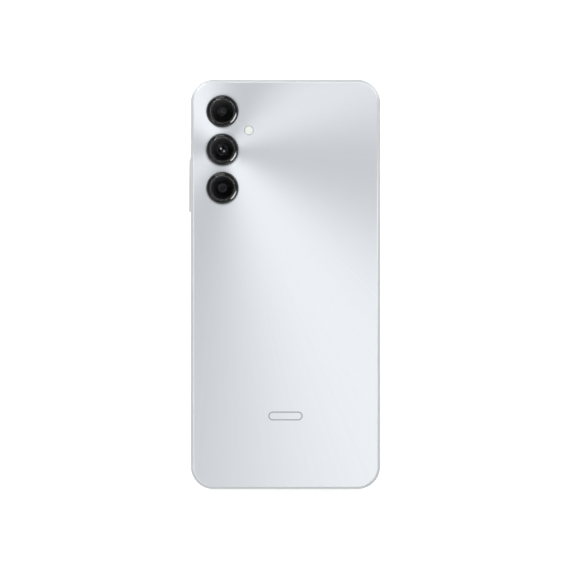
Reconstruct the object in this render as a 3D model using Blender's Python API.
"""Smartphone, built as an assembly of its separate pieces.

The phone lies on its screen. +Z points out of the rear cover, +Y towards the cameras, and the keys are
on the -X side. The origin is the middle of the screen's outer face.

All sizes are in millimetres. They become metres as each mesh is made.
"""
import math

import bmesh
import bpy
from mathutils import Vector

MM = 0.001

# Outside of the phone
LENGTH = 168.0
WIDTH = 77.8
CORNER_RADIUS = 9.4
CORNER_STEPS = 8

# Side frame: a ring with a lip at each face and a thicker wall between the two seats
LIP = 1.0
WALL = 2.3
FRAME_BOTTOM = 0.25
FRAME_TOP = 8.5
FRAME_ROUND = 0.95
GLASS_SEAT = 0.85
COVER_SEAT = 7.5

# Clearance between neighbouring pieces
GAP = 0.3

# Layers, as (bottom, top) above the screen's outer face
GLASS_Z = (0.0, 0.55)
LCD_Z = (0.85, 1.25)
BACKLIGHT_Z = (1.55, 2.2)
MID_PLATE_Z = (2.5, 2.9)
BOARD_Z = (3.2, 3.8)
BATTERY_Z = (3.2, 7.2)
SHIELD_Z = (4.1, 5.9)
BRACKET_Z = (6.4, 6.9)
FLANGE_Z = (7.2, 7.5)
COVER_Z = (7.8, 8.8)
ON_BOARD = 4.1

# Heights of the middles of the ports, the keys and the card tray
PORT_Z = 4.6
KEY_Z = 4.4
TRAY_Z = 5.1

# Rear cameras: one column near the key side
CAMERA_X = -25.85
MAIN_CAMERA_Y = 55.25
CAMERA_PITCH = 15.7
RING_RADIUS = 6.45
RING_TOP = 9.9
LENS_SEAT = 8.8
SEAT_RADIUS = 5.5
CAMERA_GLASS_Z = (9.1, 9.6)
RING_BORE = 4.3
FLANGE_RADIUS = 7.3
FLASH_X = -14.95
FLASH_RADIUS = 1.75
ROUND_STEPS = 32

# Front camera and earpiece
FRONT_CAMERA_Y = 78.0
NOTCH_RADIUS = 2.6
EARPIECE_Y = 81.15
EARPIECE_LENGTH = 12.0

# Keys on the -X side
VOLUME_Y = 40.95
VOLUME_LENGTH = 22.5
VOLUME_HEIGHT = 2.6
VOLUME_PROUD = 0.8
SWITCH_REACH = 8.6
POWER_Y = 13.9
POWER_LENGTH = 14.0
POWER_HEIGHT = 2.8
POWER_SUNK = 0.05
SCOOP_LENGTH = 17.0
SCOOP_DEPTH = 0.22
FLANGE_X = (-36.2, -35.8)
NUB_X = -35.5
SWITCH_X = (-35.2, -34.2)
KEY_FLEX_X = (-33.9, -33.7)

# Card tray on the +X side
TRAY_HEAD_Y = (43.0, 61.0)
TRAY_HEAD_X = 37.5
TRAY_HEAD_HEIGHT = 2.4
TRAY_TIP_X = 10.6
TRAY_TONGUE_Y = (46.2, 59.6)
TRAY_THICKNESS = 0.8
SIM_WINDOW = ((27.0, 35.9), (46.75, 59.05))
CARD_WINDOW = ((11.4, 26.4), (47.4, 58.4))
SEAL_X = (36.3, 37.2)
READER_X = (5.5, 35.8)
READER_Y = (43.2, 60.5)
READER_Z = (4.1, 6.1)
READER_SLOT_Y = (43.85, 59.9)
ROD_Y = 44.5
ROD_X = (8.7, 36.0)
LEVER_X = 8.0
LEVER_Y = 51.9
LEVER_HALF_LENGTH = 7.6

# Ports along the -Y edge and the microphone hole in the +Y edge
USB_SHELL = (8.94, 3.16)
USB_WALL = 0.3
USB_Y = (-83.2, -75.8)
JACK_X = 18.0
JACK_BORE = 1.75
SPEAKER_SLOTS = 5
SPEAKER_PITCH = 3.0
SPEAKER_FIRST_X = -14.5
BOTTOM_MIC_X = -8.6
TOP_MIC_X = 21.8

# Inner parts
BATTERY_X = (-32.0, 33.0)
BATTERY_Y = (-56.0, 28.5)
MAIN_BOARD_X = (-17.6, 36.3)
MAIN_BOARD_Y = (31.6, 80.8)
SUB_BOARD_X = (-11.0, 36.3)
SUB_BOARD_Y = (-81.2, -60.0)
MAIN_FLEX_X = (9.0, 21.0)
MOTOR_CENTRE = (27.0, -70.5)
MOTOR_RADIUS = 5.0
SCREWS = ((-14.5, 77.6), (31.5, 76.5), (-14.5, 35.0), (31.5, 35.0),
          (-8.5, -63.0), (31.5, -62.5), (9.8, -78.0), (30.5, -78.3))
SCREW_SHAFT = 0.7
SCREW_HEAD = 1.3
BOSS_RADIUS = 1.7

# Colour, roughness and metallic value of each material
MATERIALS = {
    "cover_film": ((0.80, 0.82, 0.85), 0.30, 0.6),
    "frame_silver": ((0.74, 0.75, 0.77), 0.32, 0.5),
    "key_silver": ((0.82, 0.83, 0.85), 0.30, 0.5),
    "sensor_dark": ((0.55, 0.56, 0.58), 0.25, 0.3),
    "ring_black": ((0.02, 0.02, 0.022), 0.15, 0.2),
    "lens_glass": ((0.03, 0.03, 0.035), 0.04, 0.0),
    "lens_barrel": ((0.015, 0.015, 0.02), 0.35, 0.0),
    "flash_plastic": ((0.93, 0.92, 0.88), 0.25, 0.0),
    "led_yellow": ((0.90, 0.75, 0.20), 0.50, 0.0),
    "front_glass_black": ((0.01, 0.01, 0.012), 0.05, 0.0),
    "lcd_black": ((0.03, 0.03, 0.04), 0.20, 0.0),
    "backlight_white": ((0.85, 0.85, 0.83), 0.50, 0.0),
    "mid_plate_metal": ((0.55, 0.56, 0.57), 0.45, 1.0),
    "board_green": ((0.03, 0.16, 0.10), 0.50, 0.0),
    "shield_steel": ((0.70, 0.70, 0.68), 0.35, 1.0),
    "gold_contact": ((0.85, 0.65, 0.25), 0.30, 1.0),
    "flex_brown": ((0.35, 0.18, 0.06), 0.40, 0.0),
    "battery_wrap": ((0.08, 0.08, 0.09), 0.45, 0.0),
    "bracket_plastic": ((0.05, 0.05, 0.055), 0.60, 0.0),
    "mesh_black": ((0.04, 0.04, 0.04), 0.60, 0.3),
    "rubber_black": ((0.03, 0.03, 0.03), 0.80, 0.0),
    "cable_black": ((0.04, 0.04, 0.04), 0.50, 0.0),
}


def clear_scene():
    for item in list(bpy.data.objects):
        bpy.data.objects.remove(item, do_unlink=True)


def material(slot):
    found = bpy.data.materials.get(slot)
    if found:
        return found
    colour, roughness, metallic = MATERIALS[slot]
    made = bpy.data.materials.new(slot)
    made.use_nodes = True
    shader = made.node_tree.nodes["Principled BSDF"]
    shader.inputs["Base Color"].default_value = (*colour, 1.0)
    shader.inputs["Roughness"].default_value = roughness
    shader.inputs["Metallic"].default_value = metallic
    return made


# Outlines

def arc(centre_u, centre_v, radius, start, end, steps):
    """Points along a circle from start to end, in degrees."""
    angles = [math.radians(start + (end - start) * i / steps) for i in range(steps + 1)]
    return [(centre_u + radius * math.cos(a), centre_v + radius * math.sin(a)) for a in angles]


def rounded_rectangle(half_u, half_v, radius, steps=CORNER_STEPS, centre=(0.0, 0.0)):
    """Anticlockwise outline of a rectangle with round corners."""
    points = []
    for side_u, side_v, start in ((1, 1, 0), (-1, 1, 90), (-1, -1, 180), (1, -1, 270)):
        corner_u = centre[0] + side_u * (half_u - radius)
        corner_v = centre[1] + side_v * (half_v - radius)
        points += arc(corner_u, corner_v, radius, start, start + 90, steps)
    return points


def span_outline(u_span, v_span, radius, steps=4):
    """Rounded rectangle between two limits each way."""
    centre = (sum(u_span) / 2, sum(v_span) / 2)
    half_u = (u_span[1] - u_span[0]) / 2
    half_v = (v_span[1] - v_span[0]) / 2
    return rounded_rectangle(half_u, half_v, radius, steps, centre)


def stadium(length, height, centre, steps=6):
    """Slot with round ends, longest along the first axis."""
    end = (length - height) / 2
    right = arc(centre[0] + end, centre[1], height / 2, -90, 90, steps)
    left = arc(centre[0] - end, centre[1], height / 2, 90, 270, steps)
    return right + left


def circle(radius, centre=(0.0, 0.0), steps=ROUND_STEPS):
    return arc(centre[0], centre[1], radius, 0, 360, steps)[:-1]


def phone_outline(inset):
    """The phone's outline seen from the rear, moved inwards by inset."""
    return rounded_rectangle(WIDTH / 2 - inset, LENGTH / 2 - inset, CORNER_RADIUS - inset)


def around(middle, size):
    return (middle - size / 2, middle + size / 2)


# Solids

def finish_mesh(name, mesh_data, slot, smooth):
    """Turn a bmesh into an object. Without a slot it becomes a hidden tool for a Boolean."""
    bmesh.ops.recalc_face_normals(mesh_data, faces=mesh_data.faces)
    mesh = bpy.data.meshes.new(name)
    mesh_data.to_mesh(mesh)
    mesh_data.free()
    if smooth:
        mesh.shade_smooth()
        mesh.set_sharp_from_angle(angle=math.radians(35))
    made = bpy.data.objects.new(name, mesh)
    bpy.context.scene.collection.objects.link(made)
    if slot:
        mesh.materials.append(material(slot))
    else:
        made.hide_render = True
        made.display_type = "WIRE"
    return made


def add_loft(mesh_data, loops, closed):
    """Join point loops in order. Closed makes a ring, otherwise both ends are capped."""
    rings = [[mesh_data.verts.new(Vector(point) * MM) for point in loop] for loop in loops]
    pairs = list(zip(rings, rings[1:]))
    if closed:
        pairs.append((rings[-1], rings[0]))
    for lower, upper in pairs:
        for i, vertex in enumerate(lower):
            j = (i + 1) % len(lower)
            mesh_data.faces.new((vertex, lower[j], upper[j], upper[i]))
    if not closed:
        mesh_data.faces.new(list(reversed(rings[0])))
        mesh_data.faces.new(rings[-1])


def level(outline, height):
    return [(x, y, height) for x, y in outline]


def plate(name, outline, z_span, slot=None, smooth=False):
    """Flat piece: an outline in XY between two heights."""
    mesh_data = bmesh.new()
    add_loft(mesh_data, [level(outline, z) for z in z_span], closed=False)
    return finish_mesh(name, mesh_data, slot, smooth)


def along_y(name, outline_xz, y_span, slot=None, smooth=False):
    """An outline in XZ drawn out along Y."""
    mesh_data = bmesh.new()
    loops = [[(x, y, z) for x, z in outline_xz] for y in y_span]
    add_loft(mesh_data, loops, closed=False)
    return finish_mesh(name, mesh_data, slot, smooth)


def along_x(name, outline_yz, x_span, slot=None, smooth=False):
    """An outline in YZ drawn out along X."""
    mesh_data = bmesh.new()
    loops = [[(x, y, z) for y, z in outline_yz] for x in x_span]
    add_loft(mesh_data, loops, closed=False)
    return finish_mesh(name, mesh_data, slot, smooth)


def block(name, x_span, y_span, z_span, slot=None):
    x0, x1 = x_span
    y0, y1 = y_span
    return plate(name, [(x0, y0), (x1, y0), (x1, y1), (x0, y1)], z_span, slot)


def turned(name, profile, centre, slot=None, closed=False, steps=ROUND_STEPS):
    """A profile of (radius, height) turned about a vertical axis at centre."""
    mesh_data = bmesh.new()
    loops = [level(circle(radius, centre, steps), height) for radius, height in profile]
    add_loft(mesh_data, loops, closed)
    return finish_mesh(name, mesh_data, slot, smooth=True)


def posts(name, centres, radius, z_span, steps=16):
    """Upright cylinders in one hidden tool."""
    mesh_data = bmesh.new()
    for centre in centres:
        add_loft(mesh_data, [level(circle(radius, centre, steps), z) for z in z_span], closed=False)
    return finish_mesh(name, mesh_data, None, smooth=False)


def use_tool(target, tool, operation="DIFFERENCE"):
    modifier = target.modifiers.new(tool.name, "BOOLEAN")
    modifier.operation = operation
    modifier.solver = "EXACT"
    modifier.object = tool


def trim_to_bay(target):
    """Keep a piece clear of the frame's inner wall, corners included."""
    tool = plate(target.name + "_bay", phone_outline(WALL + GAP), (GLASS_SEAT, COVER_Z[0]))
    use_tool(target, tool, "INTERSECT")


def round_edges(target, width, steps, chosen):
    """Bevel the edges whose two ends both pass the test, which sees positions in millimetres."""
    mesh_data = bmesh.new()
    mesh_data.from_mesh(target.data)
    edges = [e for e in mesh_data.edges if all(chosen(v.co / MM) for v in e.verts)]
    bmesh.ops.bevel(mesh_data, geom=edges, offset=width * MM, segments=steps, profile=0.5, affect="EDGES")
    mesh_data.to_mesh(target.data)
    mesh_data.free()
    target.data.shade_smooth()
    target.data.set_sharp_from_angle(angle=math.radians(35))


def set_origin(target, point):
    """Move the object's origin onto its joint axis without moving the shape."""
    shift = Vector(point) * MM
    for vertex in target.data.vertices:
        vertex.co -= shift
    target.location = shift


# Screen

def notch_outline():
    """Opening for the front camera and the earpiece in the layers behind the glass."""
    half_slit = EARPIECE_LENGTH / 2 + 0.6
    shelf = EARPIECE_Y - 0.55
    top = LENGTH / 2
    tip = arc(0, FRONT_CAMERA_Y, NOTCH_RADIUS, 180, 360, 10)
    left = [(-half_slit, top), (-half_slit, shelf), (-NOTCH_RADIUS, shelf)]
    right = [(NOTCH_RADIUS, shelf), (half_slit, shelf), (half_slit, top)]
    return left + tip + right


def make_front_glass():
    inset = LIP + GAP
    edge = 0.25
    loops = [level(phone_outline(inset), GLASS_Z[1])]
    for sideways, height in arc(inset + edge, GLASS_Z[0] + edge, edge, 180, 270, 3):
        loops.append(level(phone_outline(sideways), height))
    mesh_data = bmesh.new()
    add_loft(mesh_data, loops, closed=False)
    glass = finish_mesh("front_glass", mesh_data, "front_glass_black", smooth=True)
    slit = stadium(EARPIECE_LENGTH, 0.6, (0, EARPIECE_Y), steps=4)
    use_tool(glass, plate("earpiece_slit", slit, (-1.0, 1.0)))


def make_display():
    for name, z_span, slot in (("lcd_cell", LCD_Z, "lcd_black"),
                               ("backlight_unit", BACKLIGHT_Z, "backlight_white")):
        layer = plate(name, phone_outline(WALL + GAP), z_span, slot)
        use_tool(layer, plate(name + "_notch", notch_outline(), (z_span[0] - 0.1, z_span[1] + 0.1)))
    block("earpiece_mesh", around(0, 11.4), around(EARPIECE_Y, 0.5), (0.85, 1.1), "mesh_black")


# Frame and cover

def frame_profile():
    """Section of the frame's ring as (inset from the outside, height)."""
    bottom = arc(FRAME_ROUND, FRAME_BOTTOM + FRAME_ROUND, FRAME_ROUND, 270, 180, 4)
    top = arc(FRAME_ROUND, FRAME_TOP - FRAME_ROUND, FRAME_ROUND, 180, 90, 4)
    inside = [(LIP, FRAME_TOP), (LIP, COVER_SEAT), (WALL, COVER_SEAT),
              (WALL, GLASS_SEAT), (LIP, GLASS_SEAT), (LIP, FRAME_BOTTOM)]
    return bottom + top + inside


def cut_ports(frame):
    outside = -LENGTH / 2 - 1
    inside = -LENGTH / 2 + WALL + 0.1
    through = (outside, inside)
    usb = stadium(USB_SHELL[0] + 2 * GAP, USB_SHELL[1] + 2 * GAP, (0, PORT_Z))
    use_tool(frame, along_y("usb_opening", usb, through))
    use_tool(frame, along_y("jack_opening", circle(JACK_BORE + 0.15, (JACK_X, PORT_Z), 24), through))
    use_tool(frame, along_y("bottom_mic_hole", circle(0.5, (BOTTOM_MIC_X, PORT_Z), 12), through))
    for i in range(SPEAKER_SLOTS):
        slot = stadium(2.0, 1.1, (SPEAKER_FIRST_X - i * SPEAKER_PITCH, PORT_Z), steps=4)
        use_tool(frame, along_y("speaker_opening_%d" % (i + 1), slot, through))
    top_hole = circle(0.5, (TOP_MIC_X, PORT_Z), 12)
    use_tool(frame, along_y("top_mic_hole", top_hole, (-inside, -outside)))


def cut_side_slots(frame):
    outside = WIDTH / 2 + 1
    inside = WIDTH / 2 - WALL - 0.1
    tray_y = (TRAY_HEAD_Y[0] - GAP, TRAY_HEAD_Y[1] + GAP)
    tray_z = around(TRAY_Z, TRAY_HEAD_HEIGHT + 2 * GAP)
    use_tool(frame, along_x("tray_opening", span_outline(tray_y, tray_z, 1.2), (inside, outside)))
    for name, middle, length, height in (("volume_opening", VOLUME_Y, VOLUME_LENGTH, VOLUME_HEIGHT),
                                         ("power_opening", POWER_Y, POWER_LENGTH, POWER_HEIGHT)):
        slot = span_outline(around(middle, length + 2 * GAP), around(KEY_Z, height + 2 * GAP), 0.9)
        use_tool(frame, along_x(name, slot, (-outside, -inside)))
    scoop_radius = (SCOOP_LENGTH ** 2 / 4 + SCOOP_DEPTH ** 2) / (2 * SCOOP_DEPTH)
    scoop_x = -WIDTH / 2 + SCOOP_DEPTH - scoop_radius
    reach = math.degrees(math.asin(SCOOP_LENGTH / 2 / scoop_radius)) * 1.2
    scoop = arc(scoop_x, POWER_Y, scoop_radius, -reach, reach, 8)
    scoop += [(-outside, scoop[-1][1]), (-outside, scoop[0][1])]
    use_tool(frame, plate("power_scoop", scoop, around(KEY_Z, POWER_HEIGHT + 1.6)))


def make_side_frame():
    mesh_data = bmesh.new()
    loops = [level(phone_outline(inset), height) for inset, height in frame_profile()]
    add_loft(mesh_data, loops, closed=True)
    frame = finish_mesh("side_frame", mesh_data, "frame_silver", smooth=True)
    cut_ports(frame)
    cut_side_slots(frame)


def camera_centres():
    """Centres of the three rear cameras, from the top edge downwards."""
    return [(CAMERA_X, MAIN_CAMERA_Y + step * CAMERA_PITCH) for step in (1, 0, -1)]


def flash_centre():
    return (FLASH_X, MAIN_CAMERA_Y + CAMERA_PITCH / 2)


def make_rear_cover():
    inset = LIP + GAP
    edge = 0.45
    loops = [level(phone_outline(inset), COVER_Z[0])]
    for sideways, height in arc(inset + edge, COVER_Z[1] - edge, edge, 180, 90, 4):
        loops.append(level(phone_outline(sideways), height))
    mesh_data = bmesh.new()
    add_loft(mesh_data, loops, closed=False)
    cover = finish_mesh("rear_cover", mesh_data, "cover_film", smooth=True)
    through = (COVER_Z[0] - 1, COVER_Z[1] + 1)
    use_tool(cover, posts("camera_openings", camera_centres(), RING_RADIUS + GAP, through, ROUND_STEPS))
    use_tool(cover, posts("flash_opening", [flash_centre()], FLASH_RADIUS + GAP, through, 24))


# Cameras and flash

def make_camera_trim(place, centre):
    """Ring, with a flange under the cover, and the glass that lies in it."""
    edge = 0.35
    outer = arc(RING_RADIUS - edge, RING_TOP - edge, edge, 0, 90, 3)
    flange = [(RING_BORE, FLANGE_Z[0]), (FLANGE_RADIUS, FLANGE_Z[0]), (FLANGE_RADIUS, FLANGE_Z[1]),
              (RING_RADIUS, FLANGE_Z[1])]
    seat = [(SEAT_RADIUS, RING_TOP - 0.45), (SEAT_RADIUS, LENS_SEAT), (RING_BORE, LENS_SEAT)]
    turned("camera_ring_" + place, flange + outer + seat, centre, "ring_black", closed=True)
    radius = SEAT_RADIUS - GAP
    low, high = CAMERA_GLASS_Z
    disc = [(radius, low), (radius, high - 0.12), (radius - 0.12, high)]
    turned("camera_glass_" + place, disc, centre, "lens_glass")


def make_small_camera(name, centre):
    """Fixed focus module: a square base with a round barrel."""
    x, y = centre
    base = block(name, around(x, 7.5), around(y, 7.5), (BOARD_Z[0], 6.2), "lens_barrel")
    barrel = [(2.8, 6.0), (2.8, 7.6), (2.4, 8.2), (1.5, 8.2), (1.2, 7.9)]
    use_tool(base, turned(name + "_barrel", barrel, centre), "UNION")


def make_main_camera(centre):
    x, y = centre
    well_radius = 3.7
    housing = block("main_camera_housing", around(x, 11.0), around(y, 11.0),
                    (BOARD_Z[0], 6.9), "lens_barrel")
    use_tool(housing, posts("focus_well", [centre], well_radius, (4.2, 7.5), ROUND_STEPS))
    barrel = [(well_radius - GAP, 4.8), (well_radius - GAP, 7.4), (3.0, 7.9), (3.0, 8.3),
              (2.2, 8.3), (1.8, 8.0)]
    lens = turned("main_camera_lens", barrel, centre, "lens_barrel")
    set_origin(lens, (x, y, 4.8))


def make_flash():
    x, y = flash_centre()
    window = [(2.6, FLANGE_Z[0]), (2.6, FLANGE_Z[1]), (FLASH_RADIUS, FLANGE_Z[1]),
              (FLASH_RADIUS, COVER_Z[1] - 0.1)]
    turned("flash_window", window, (x, y), "flash_plastic", steps=24)
    block("flash_led", around(x, 3.0), around(y, 3.0), (ON_BOARD, 6.9), "led_yellow")


def make_front_camera():
    body = block("front_camera", around(0, 6.0), around(FRONT_CAMERA_Y, 5.6),
                 (BOARD_Z[0], 6.0), "lens_barrel")
    barrel = [(1.8, 0.85), (1.8, 3.4)]
    use_tool(body, turned("front_camera_barrel", barrel, (0, FRONT_CAMERA_Y), steps=20), "UNION")


# Keys

def key_plan(half_length, outer_x, nubs):
    """Plan of a key: a cap through the frame's slot, an inner flange, and nubs that reach the switches."""
    flange_half = half_length + 0.7
    points = [(outer_x, -half_length), (FLANGE_X[0], -half_length),
              (FLANGE_X[0], -flange_half), (FLANGE_X[1], -flange_half)]
    for offset in nubs:
        points += [(FLANGE_X[1], offset - 0.8), (NUB_X, offset - 0.8),
                   (NUB_X, offset + 0.8), (FLANGE_X[1], offset + 0.8)]
    points += [(FLANGE_X[1], flange_half), (FLANGE_X[0], flange_half),
               (FLANGE_X[0], half_length), (outer_x, half_length)]
    return points


def make_key(name, middle, length, height, outer_x, nubs, slot):
    plan = [(x, y + middle) for x, y in key_plan(length / 2, outer_x, nubs)]
    key = plate(name, plan, around(KEY_Z, height), slot)
    round_edges(key, 0.4, 3, lambda point: point.x < outer_x + 0.01)
    return key


def make_switch(name, middle):
    block(name, SWITCH_X, around(middle, 3.2), around(KEY_Z, 2.4), "shield_steel")


def make_volume_key():
    outer_x = -WIDTH / 2 - VOLUME_PROUD
    key = make_key("volume_key", VOLUME_Y, VOLUME_LENGTH, VOLUME_HEIGHT, outer_x,
                   (-SWITCH_REACH, SWITCH_REACH), "key_silver")
    set_origin(key, (FLANGE_X[0], VOLUME_Y, KEY_Z))
    make_switch("volume_down_switch", VOLUME_Y - SWITCH_REACH)
    make_switch("volume_up_switch", VOLUME_Y + SWITCH_REACH)


def make_power_key():
    outer_x = -WIDTH / 2 + POWER_SUNK
    key = make_key("power_key", POWER_Y, POWER_LENGTH, POWER_HEIGHT, outer_x, (0.0,), "key_silver")
    pocket_x = outer_x + 0.6
    pocket = span_outline(around(POWER_Y, 12.0), around(KEY_Z, 2.0), 0.9)
    use_tool(key, along_x("sensor_pocket", pocket, (outer_x - 1, pocket_x)))
    set_origin(key, (FLANGE_X[0], POWER_Y, KEY_Z))
    pad = span_outline(around(POWER_Y, 11.4), around(KEY_Z, 1.4), 0.65)
    along_x("fingerprint_sensor", pad, (outer_x + 0.02, pocket_x - GAP), "sensor_dark")
    make_switch("power_switch", POWER_Y)


def make_side_key_flex():
    """Strip behind the switches, with a tail that crosses to the main board between two cameras."""
    strip = block("side_key_flex", KEY_FLEX_X, (5.0, 53.0), (3.4, 6.0), "flex_brown")
    tail = block("side_key_flex_tail", (KEY_FLEX_X[0] + 0.1, -15.5), (45.2, 48.2), (ON_BOARD, 4.25))
    use_tool(strip, tail, "UNION")


# Card tray, reader and ejector

def make_sim_tray():
    head_z = around(TRAY_Z, TRAY_HEAD_HEIGHT)
    tongue_z = around(TRAY_Z, TRAY_THICKNESS)
    outer_x = WIDTH / 2
    tray = along_x("sim_tray", span_outline(TRAY_HEAD_Y, head_z, 0.9), (TRAY_HEAD_X, outer_x),
                   "frame_silver", smooth=True)
    round_edges(tray, 0.15, 2, lambda point: point.x > outer_x - 0.01)
    tongue = block("tray_tongue", (TRAY_TIP_X, TRAY_HEAD_X + 0.3), TRAY_TONGUE_Y, tongue_z)
    use_tool(tray, tongue, "UNION")
    for name, window in (("sim_window", SIM_WINDOW), ("card_window", CARD_WINDOW)):
        use_tool(tray, block(name, window[0], window[1], (TRAY_Z - 2, TRAY_Z + 2)))
    pin_hole = circle(0.45, (ROD_Y, TRAY_Z), 12)
    use_tool(tray, along_x("tray_pin_hole", pin_hole, (TRAY_HEAD_X - 1, outer_x + 1)))

    seal_outline = span_outline((TRAY_HEAD_Y[0] + 0.2, TRAY_HEAD_Y[1] - 0.2), around(TRAY_Z, 2.2), 0.8)
    seal = along_x("sim_tray_seal", seal_outline, SEAL_X, "rubber_black")
    opening = (TRAY_TONGUE_Y[0] - 0.25, TRAY_TONGUE_Y[1] + 0.25)
    past_seal = (SEAL_X[0] - 1, SEAL_X[1] + 1)
    use_tool(seal, block("seal_opening", past_seal, opening, around(TRAY_Z, 1.4)))
    use_tool(seal, along_x("seal_pin_hole", pin_hole, past_seal))


def make_sim_reader():
    """Flat steel sleeve on the main board, open at both ends, with the lever's pivot pin inside."""
    reader = block("sim_reader", READER_X, READER_Y, READER_Z, "shield_steel")
    slot_x = (READER_X[0] - 1, READER_X[1] + 1)
    slot_z = (READER_Z[0] + GAP, READER_Z[1] - GAP)
    use_tool(reader, block("reader_slot", slot_x, READER_SLOT_Y, slot_z))
    pin_z = (READER_Z[0] + 0.1, READER_Z[1] - 0.1)
    use_tool(reader, posts("lever_pin", [(LEVER_X, LEVER_Y)], 0.5, pin_z, 12), "UNION")


def make_ejector():
    thin = around(TRAY_Z, 0.7)
    rod = block("eject_rod", ROD_X, around(ROD_Y, 0.7), thin, "shield_steel")
    set_origin(rod, (ROD_X[0], ROD_Y, TRAY_Z))
    outline = span_outline(around(LEVER_X, 0.8), around(LEVER_Y, 2 * LEVER_HALF_LENGTH), 0.35, steps=2)
    lever = plate("eject_lever", outline, thin, "shield_steel")
    hub = posts("lever_hub", [(LEVER_X, LEVER_Y)], 1.4, thin)
    use_tool(lever, hub, "UNION")
    use_tool(lever, posts("lever_bore", [(LEVER_X, LEVER_Y)], 0.75, (TRAY_Z - 1, TRAY_Z + 1), 12))
    set_origin(lever, (LEVER_X, LEVER_Y, TRAY_Z))


# Ports and sound

def make_usb_socket():
    width, height = USB_SHELL
    shell = along_y("usb_c_socket", stadium(width, height, (0, PORT_Z)), USB_Y, "shield_steel", True)
    mouth = stadium(width - 2 * USB_WALL, height - 2 * USB_WALL, (0, PORT_Z))
    back = USB_Y[1] - 0.6
    use_tool(shell, along_y("usb_mouth", mouth, (USB_Y[0] - 1, back)))
    tongue = rounded_rectangle(6.69 / 2, 0.35, 0.2, 2, (0, PORT_Z))
    along_y("usb_c_tongue", tongue, (USB_Y[0] + 0.8, back - GAP), "bracket_plastic")


def make_headphone_jack():
    jack = block("headphone_jack", around(JACK_X, 6.0), (-81.4, -69.0), around(PORT_Z, 4.2),
                 "bracket_plastic")
    bore = circle(JACK_BORE, (JACK_X, PORT_Z), 24)
    use_tool(jack, along_y("jack_bore", bore, (-83.0, -69.8)))


def make_sound_parts():
    box = block("loudspeaker_box", (-34.2, -12.0), (-80.7, -60.0), (BOARD_Z[0], 7.0), "bracket_plastic")
    trim_to_bay(box)
    use_tool(box, posts("speaker_recess", [(-23.0, -69.0)], 6.5, (6.5, 7.5), 24))
    block("speaker_mesh", (-28.5, -12.6), (-81.3, -81.0), around(PORT_Z, 2.6), "mesh_black")
    block("earpiece_speaker", (3.6, 15.6), (75.0, 81.0), (BOARD_Z[0], 5.8), "bracket_plastic")
    for name, x, y_span in (("bottom_microphone", BOTTOM_MIC_X, (-80.9, -78.2)),
                            ("top_microphone", TOP_MIC_X, (77.8, 80.5))):
        block(name, around(x, 3.6), y_span, (ON_BOARD, 5.1), "gold_contact")


def make_vibration_motor():
    """Coin motor: an open-topped can with a fixed pin, and a half-disc weight that spins on it."""
    radius = MOTOR_RADIUS
    can = [(0.01, ON_BOARD), (radius, ON_BOARD), (radius, 6.1), (1.6, 6.1), (1.6, 5.85),
           (radius - 0.3, 5.85), (radius - 0.3, 4.4), (0.4, 4.4), (0.4, 5.9), (0.01, 5.9)]
    turned("vibration_motor_case", can, MOTOR_CENTRE, "shield_steel")
    x, y = MOTOR_CENTRE
    outline = arc(x, y, radius - 0.7, 0, 180, 14) + arc(x, y, 1.4, 180, 360, 8)
    weight = plate("vibration_weight", outline, (4.7, 5.55), "mid_plate_metal")
    use_tool(weight, posts("weight_bore", [MOTOR_CENTRE], 0.7, (4.0, 6.0)))
    set_origin(weight, (x, y, ON_BOARD))


# Inside

def make_mid_plate():
    mid = plate("mid_plate", phone_outline(WALL + GAP), MID_PLATE_Z, "mid_plate_metal")
    low, high = MID_PLATE_Z
    past = (low - 0.1, high + 0.1)
    use_tool(mid, posts("bosses", SCREWS, BOSS_RADIUS, (high - 0.2, BRACKET_Z[0] - GAP)), "UNION")
    use_tool(mid, posts("boss_holes", SCREWS, SCREW_SHAFT + GAP, (low - 1, BRACKET_Z[0] + 1), 12))
    use_tool(mid, posts("front_camera_hole", [(0, FRONT_CAMERA_Y)], 2.2, past, 20))
    use_tool(mid, block("earpiece_duct", (3.9, 6.5), (79.6, 81.0), past))
    use_tool(mid, block("jack_recess", around(JACK_X, 7.0), (-83.0, -68.6), past))
    use_tool(mid, block("usb_recess", around(0, 10.0), (-83.0, -75.4), past))


def clear_bosses(target):
    z_span = (BOARD_Z[0] - 1, BOARD_Z[1] + 1)
    use_tool(target, posts(target.name + "_boss_gaps", SCREWS, BOSS_RADIUS + GAP, z_span))


def make_boards():
    past = (BOARD_Z[0] - 0.5, BOARD_Z[1] + 0.5)
    main = block("main_board", MAIN_BOARD_X, MAIN_BOARD_Y, BOARD_Z, "board_green")
    trim_to_bay(main)
    use_tool(main, block("top_edge_gap", (-3.4, 16.0), (74.6, 83.0), past))
    clear_bosses(main)
    sub = block("sub_board", SUB_BOARD_X, SUB_BOARD_Y, BOARD_Z, "board_green")
    trim_to_bay(sub)
    use_tool(sub, block("usb_gap", around(0, 10.0), (-83.0, -75.2), past))
    use_tool(sub, block("jack_gap", around(JACK_X, 7.0), (-83.0, -68.6), past))
    clear_bosses(sub)
    block("soc_shield", (-14.0, 4.5), (40.0, 60.0), SHIELD_Z, "shield_steel")
    block("rf_shield", (-12.0, 14.0), (63.5, 73.8), SHIELD_Z, "shield_steel")


def make_battery():
    outline = span_outline(BATTERY_X, BATTERY_Y, 3.0)
    plate("battery", outline, BATTERY_Z, "battery_wrap", smooth=True)
    block("battery_flex", around(-5.0, 8.0), (BATTERY_Y[1] + GAP, 37.5), (ON_BOARD, 4.25), "flex_brown")


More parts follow.
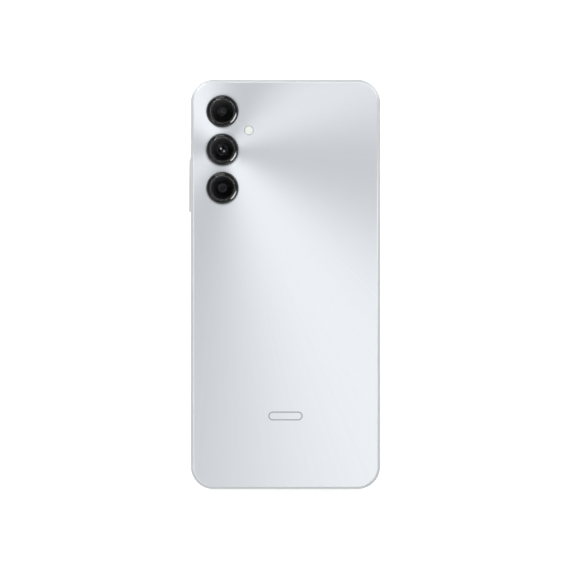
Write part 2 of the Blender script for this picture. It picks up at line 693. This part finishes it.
def make_main_flex():
    """Ribbon that rises over the battery and drops onto a board at each end."""
    thin = 0.15
    top = 7.4
    upper_y = BATTERY_Y[1] + 1.6
    lower_y = BATTERY_Y[0] - 1.3
    over = [(38.5, ON_BOARD + thin), (upper_y + thin, ON_BOARD + thin), (upper_y + thin, top + thin),
            (lower_y - thin, top + thin), (lower_y - thin, ON_BOARD + thin), (-65.0, ON_BOARD + thin)]
    under = [(-65.0, ON_BOARD), (lower_y, ON_BOARD), (lower_y, top), (upper_y, top),
             (upper_y, ON_BOARD), (38.5, ON_BOARD)]
    along_x("main_flex", over + under, MAIN_FLEX_X, "flex_brown")


def make_antenna_cable():
    """Coaxial lead beside the battery, dipping to a board at each end."""
    curve = bpy.data.curves.new("antenna_cable", "CURVE")
    curve.dimensions = "3D"
    curve.bevel_depth = 0.4 * MM
    curve.bevel_resolution = 2
    curve.use_fill_caps = True
    route = [(34.6, -64.0, 4.55), (34.6, -62.5, 4.7), (34.6, -61.0, 4.9)]
    route += [(34.6, -60.0 + step * 10.0, 4.9) for step in range(10)]
    route += [(34.6, 34.0, 4.9), (34.6, 35.5, 4.7), (34.6, 37.0, 4.55)]
    spline = curve.splines.new("POLY")
    spline.points.add(len(route) - 1)
    for point, place in zip(spline.points, route):
        point.co = (*(Vector(place) * MM), 1.0)
    curve.materials.append(material("cable_black"))
    cable = bpy.data.objects.new("antenna_cable", curve)
    bpy.context.scene.collection.objects.link(cable)


def make_brackets():
    past = (BRACKET_Z[0] - 0.5, BRACKET_Z[1] + 0.5)
    upper = block("upper_antenna_bracket", MAIN_BOARD_X, MAIN_BOARD_Y, BRACKET_Z, "bracket_plastic")
    trim_to_bay(upper)
    use_tool(upper, posts("flash_hole", [flash_centre()], 2.5, past, 20))
    lower = block("lower_antenna_bracket", SUB_BOARD_X, SUB_BOARD_Y, BRACKET_Z, "bracket_plastic")
    trim_to_bay(lower)
    use_tool(lower, block("jack_window", around(JACK_X, 7.0), (-83.0, -68.6), past))
    for bracket in (upper, lower):
        use_tool(bracket, posts(bracket.name + "_screw_holes", SCREWS, SCREW_SHAFT + GAP, past, 12))


def make_screws():
    under_head = BRACKET_Z[1] + 0.2
    profile = [(SCREW_SHAFT, 3.4), (SCREW_SHAFT, under_head), (SCREW_HEAD, under_head),
               (SCREW_HEAD, 7.4), (SCREW_HEAD - 0.15, 7.5)]
    for i, centre in enumerate(SCREWS):
        turned("screw_%d" % (i + 1), profile, centre, "shield_steel", steps=12)


def main():
    clear_scene()
    make_front_glass()
    make_display()
    make_side_frame()
    make_rear_cover()
    top_camera, main_camera, bottom_camera = camera_centres()
    for place, centre in (("top", top_camera), ("middle", main_camera), ("bottom", bottom_camera)):
        make_camera_trim(place, centre)
    make_small_camera("macro_camera", top_camera)
    make_small_camera("depth_camera", bottom_camera)
    make_main_camera(main_camera)
    make_flash()
    make_front_camera()
    make_volume_key()
    make_power_key()
    make_side_key_flex()
    make_sim_tray()
    make_sim_reader()
    make_ejector()
    make_usb_socket()
    make_headphone_jack()
    make_sound_parts()
    make_vibration_motor()
    make_mid_plate()
    make_boards()
    make_battery()
    make_main_flex()
    make_antenna_cable()
    make_brackets()
    make_screws()


main()
